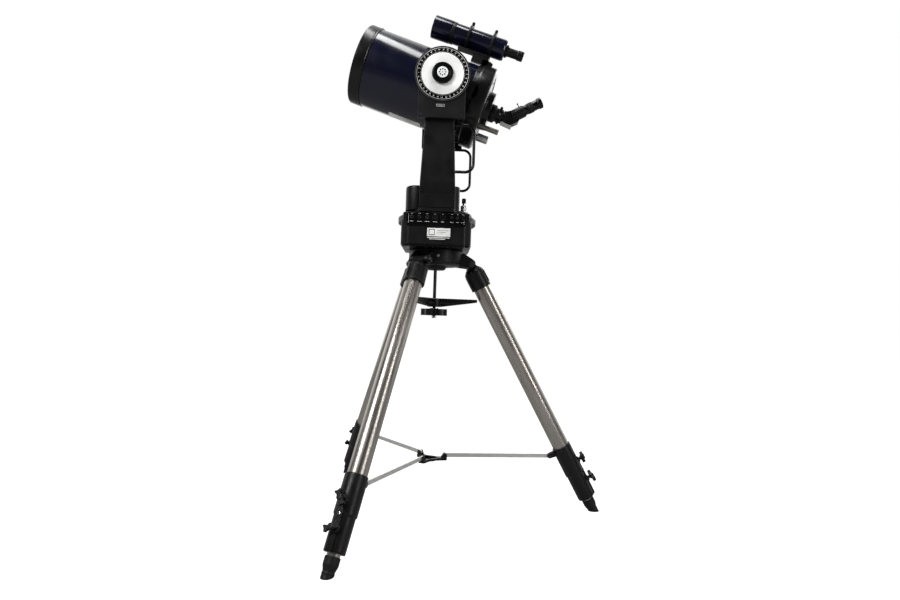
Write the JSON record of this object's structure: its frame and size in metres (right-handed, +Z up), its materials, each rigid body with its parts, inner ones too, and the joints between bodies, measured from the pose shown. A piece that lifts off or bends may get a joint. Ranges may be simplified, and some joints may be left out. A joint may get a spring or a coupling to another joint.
{
  "type": "schmidt cassegrain telescope",
  "caption": "Fork-mounted catadioptric telescope with finder, diagonal and eyepiece on a drive base and a folding field tripod with extending steel legs.",
  "frame": {"origin": "on the floor, at the middle of the rectangle that the whole object covers seen from above", "axes": "+Z up; the optical tube's front points towards -X and 18.65 degrees up; the near fork arm with the setting circle is on the -Y side"},
  "size_m": [0.8552, 0.9268, 1.4957],
  "materials": {
    "tube_blue": "gloss",
    "black_casting": "satin",
    "grey_casting": "satin",
    "black_plastic": "satin",
    "stainless": "brushed",
    "strut_silver": "satin",
    "chrome_trim": "polished",
    "foot_rubber": "matte",
    "lens_glass": "coated",
    "mirror_glass": "polished",
    "gear_brass": "machined",
    "dial_white": "satin"
  },
  "bodies": {
    "tripod_head": {"tripod_head": "black_casting", "tension_rod": "stainless", "base_plate": "black_casting", "drive_base": "black_casting", "power_panel": "black_plastic", "azimuth_motor": "grey_casting"},
    "leg_1": {"leg_casting_1": "black_casting", "leg_tube_1": "stainless", "leg_collar_1": "black_plastic"},
    "extension_1": {"leg_extension_1": "stainless", "foot_1": "foot_rubber"},
    "lock_knob_upper_1": {"lock_knob_upper_1": "black_plastic"},
    "lock_knob_lower_1": {"lock_knob_lower_1": "black_plastic"},
    "strut_1": {"strut_1": "strut_silver"},
    "leg_2": {"leg_casting_2": "black_casting", "leg_tube_2": "stainless", "leg_collar_2": "black_plastic"},
    "extension_2": {"leg_extension_2": "stainless", "foot_2": "foot_rubber"},
    "lock_knob_upper_2": {"lock_knob_upper_2": "black_plastic"},
    "lock_knob_lower_2": {"lock_knob_lower_2": "black_plastic"},
    "strut_2": {"strut_2": "strut_silver"},
    "leg_3": {"leg_casting_3": "black_casting", "leg_tube_3": "stainless", "leg_collar_3": "black_plastic"},
    "extension_3": {"leg_extension_3": "stainless", "foot_3": "foot_rubber"},
    "lock_knob_upper_3": {"lock_knob_upper_3": "black_plastic"},
    "lock_knob_lower_3": {"lock_knob_lower_3": "black_plastic"},
    "strut_3": {"strut_3": "strut_silver"},
    "strut_hub": {"strut_hub": "black_plastic"},
    "spreader": {"spreader": "black_casting"},
    "tension_knob": {"tension_knob": "black_plastic"},
    "azimuth_circle": {"azimuth_circle": "grey_casting"},
    "fork": {"fork_base": "black_casting", "fork_arm_near": "black_casting", "fork_arm_far": "black_casting", "dec_cover_near": "grey_casting", "dec_cover_far": "grey_casting", "handle_near": "black_plastic", "handle_far": "black_plastic", "azimuth_gear": "gear_brass"},
    "azimuth_knob": {"azimuth_knob": "black_plastic"},
    "azimuth_lock": {"azimuth_lock": "chrome_trim"},
    "optical_tube": {"optical_tube": "tube_blue", "front_cell": "black_casting", "corrector_plate": "lens_glass", "secondary_holder": "black_plastic", "rear_cell": "grey_casting", "baffle_tube": "black_casting", "dec_circle": "dial_white", "finder_bracket": "black_casting", "finder_tube": "tube_blue", "visual_back": "black_casting"},
    "dec_lock_knob": {"dec_lock_knob": "black_plastic"},
    "primary_mirror": {"primary_mirror": "mirror_glass"},
    "focus_knob": {"focus_knob": "chrome_trim"},
    "mirror_lock_knob": {"mirror_lock_knob": "grey_casting"},
    "star_diagonal": {"star_diagonal": "black_plastic"},
    "eyepiece": {"eyepiece": "black_plastic"}
  },
  "joints": [
    {"name": "leg_fold_1", "type": "hinge", "parent": "tripod_head", "child": "leg_1", "pos_m": [-0.00098, 0.03956, 0.75], "axis": [-0.108, 0.9942, 0], "range_deg": [0, 21]},
    {"name": "leg_slide_1", "type": "slide", "parent": "leg_1", "child": "extension_1", "axis": [0.4804, 0.0522, -0.8755], "range_m": [0, 0.28]},
    {"name": "upper_lock_turn_1", "type": "hinge", "parent": "leg_1", "child": "lock_knob_upper_1", "pos_m": [0.36046, 0.07883, 0.16026], "axis": [0.8704, 0.0946, 0.4833], "range_deg": [-180, 180]},
    {"name": "lower_lock_turn_1", "type": "hinge", "parent": "leg_1", "child": "lock_knob_lower_1", "pos_m": [0.39169, 0.08222, 0.10336], "axis": [0.8704, 0.0946, 0.4833], "range_deg": [-180, 180]},
    {"name": "strut_fold_1", "type": "hinge", "parent": "leg_1", "child": "strut_1", "pos_m": [0.26545, 0.0685, 0.169], "axis": [-0.108, 0.9942, 0], "range_deg": [0, 64]},
    {"name": "leg_fold_2", "type": "hinge", "parent": "tripod_head", "child": "leg_2", "pos_m": [-0.16738, 0.11295, 0.75], "axis": [-0.807, -0.5906, 0], "range_deg": [0, 21.5]},
    {"name": "leg_slide_2", "type": "slide", "parent": "leg_2", "child": "extension_2", "axis": [-0.2854, 0.39, -0.8755], "range_m": [0, 0.28]},
    {"name": "upper_lock_turn_2", "type": "hinge", "parent": "leg_2", "child": "lock_knob_upper_2", "pos_m": [-0.38211, 0.40634, 0.16026], "axis": [-0.5171, 0.7065, 0.4833], "range_deg": [-180, 180]},
    {"name": "lower_lock_turn_2", "type": "hinge", "parent": "leg_2", "child": "lock_knob_lower_2", "pos_m": [-0.40066, 0.43169, 0.10336], "axis": [-0.5171, 0.7065, 0.4833], "range_deg": [-180, 180]},
    {"name": "strut_fold_2", "type": "hinge", "parent": "leg_2", "child": "strut_2", "pos_m": [-0.32566, 0.32922, 0.169], "axis": [-0.807, -0.5906, 0], "range_deg": [0, 64]},
    {"name": "leg_fold_3", "type": "hinge", "parent": "tripod_head", "child": "leg_3", "pos_m": [-0.14774, -0.06785, 0.75], "axis": [0.915, -0.4035, 0], "range_deg": [0, 21.5]},
    {"name": "leg_slide_3", "type": "slide", "parent": "leg_3", "child": "extension_3", "axis": [-0.195, -0.4422, -0.8755], "range_m": [0, 0.28]},
    {"name": "upper_lock_turn_3", "type": "hinge", "parent": "leg_3", "child": "lock_knob_upper_3", "pos_m": [-0.29446, -0.4005, 0.16026], "axis": [-0.3533, -0.801, 0.4833], "range_deg": [-180, 180]},
    {"name": "lower_lock_turn_3", "type": "hinge", "parent": "leg_3", "child": "lock_knob_lower_3", "pos_m": [-0.30713, -0.42924, 0.10336], "axis": [-0.3533, -0.801, 0.4833], "range_deg": [-180, 180]},
    {"name": "strut_fold_3", "type": "hinge", "parent": "leg_3", "child": "strut_3", "pos_m": [-0.25589, -0.31306, 0.169], "axis": [0.915, -0.4035, 0], "range_deg": [0, 64]},
    {"name": "hub_lift", "type": "slide", "parent": "tripod_head", "child": "strut_hub", "axis": [0, 0, 1], "range_m": [0, 0.233]},
    {"name": "spreader_turn", "type": "hinge", "parent": "tripod_head", "child": "spreader", "pos_m": [-0.10537, 0.02822, 0.63], "axis": [0, 0, 1], "range_deg": [0, 61]},
    {"name": "tension_knob_turn", "type": "hinge", "parent": "tripod_head", "child": "tension_knob", "pos_m": [-0.10537, 0.02822, 0.6], "axis": [0, 0, 1], "continuous": true},
    {"name": "azimuth_circle_turn", "type": "hinge", "parent": "tripod_head", "child": "azimuth_circle", "pos_m": [-0.10537, 0.02822, 0.874], "axis": [0, 0, 1], "continuous": true},
    {"name": "azimuth_turn", "type": "hinge", "parent": "tripod_head", "child": "fork", "pos_m": [-0.10537, 0.02822, 0.892], "axis": [0, 0, 1], "continuous": true},
    {"name": "azimuth_knob_turn", "type": "hinge", "parent": "fork", "child": "azimuth_knob", "pos_m": [-0.02637, -0.00778, 0.93], "axis": [0, 0, 1], "continuous": true},
    {"name": "azimuth_lock_turn", "type": "hinge", "parent": "fork", "child": "azimuth_lock", "pos_m": [-0.02537, 0.04822, 0.904], "axis": [0, 0, 1], "range_deg": [-45, 0]},
    {"name": "declination_turn", "type": "hinge", "parent": "fork", "child": "optical_tube", "pos_m": [-0.10087, 0.02822, 1.2669], "axis": [0, 1, 0], "range_deg": [-90, 72]},
    {"name": "dec_lock_turn", "type": "hinge", "parent": "optical_tube", "child": "dec_lock_knob", "pos_m": [-0.10087, -0.14178, 1.2669], "axis": [0, -1, 0], "range_deg": [0, 120]},
    {"name": "focus_turn", "type": "hinge", "parent": "optical_tube", "child": "focus_knob", "pos_m": [0.00764, 0.00822, 1.13529], "axis": [0.9475, 0, -0.3198], "range_deg": [-2250, 2250]},
    {"name": "mirror_slide", "type": "slide", "parent": "optical_tube", "child": "primary_mirror", "axis": [0.9475, 0, -0.3198], "range_m": [-0.006, 0.006]},
    {"name": "mirror_lock_turn", "type": "hinge", "parent": "optical_tube", "child": "mirror_lock_knob", "pos_m": [0.01596, -0.01678, 1.15992], "axis": [0.9475, 0, -0.3198], "range_deg": [0, 270]},
    {"name": "diagonal_turn", "type": "hinge", "parent": "optical_tube", "child": "star_diagonal", "pos_m": [0.07432, 0.02822, 1.20777], "axis": [0.9475, 0, -0.3198], "range_deg": [-180, 0]},
    {"name": "eyepiece_slide", "type": "slide", "parent": "star_diagonal", "child": "eyepiece", "axis": [0.8801, 0, 0.4749], "range_m": [0, 0.03]}
  ],
  "couplings": [
    {"joint": "strut_fold_1", "follows": "leg_fold_1", "ratio": 3},
    {"joint": "leg_fold_2", "follows": "leg_fold_1", "ratio": 1},
    {"joint": "strut_fold_2", "follows": "leg_fold_1", "ratio": 3},
    {"joint": "leg_fold_3", "follows": "leg_fold_1", "ratio": 1},
    {"joint": "strut_fold_3", "follows": "leg_fold_1", "ratio": 3},
    {"joint": "hub_lift", "follows": "leg_fold_1", "m_per_rad": 0.63},
    {"joint": "spreader_turn", "follows": "leg_fold_1", "ratio": 2.857},
    {"joint": "focus_turn", "follows": "mirror_slide", "rad_per_m": 6283.2}
  ]
}
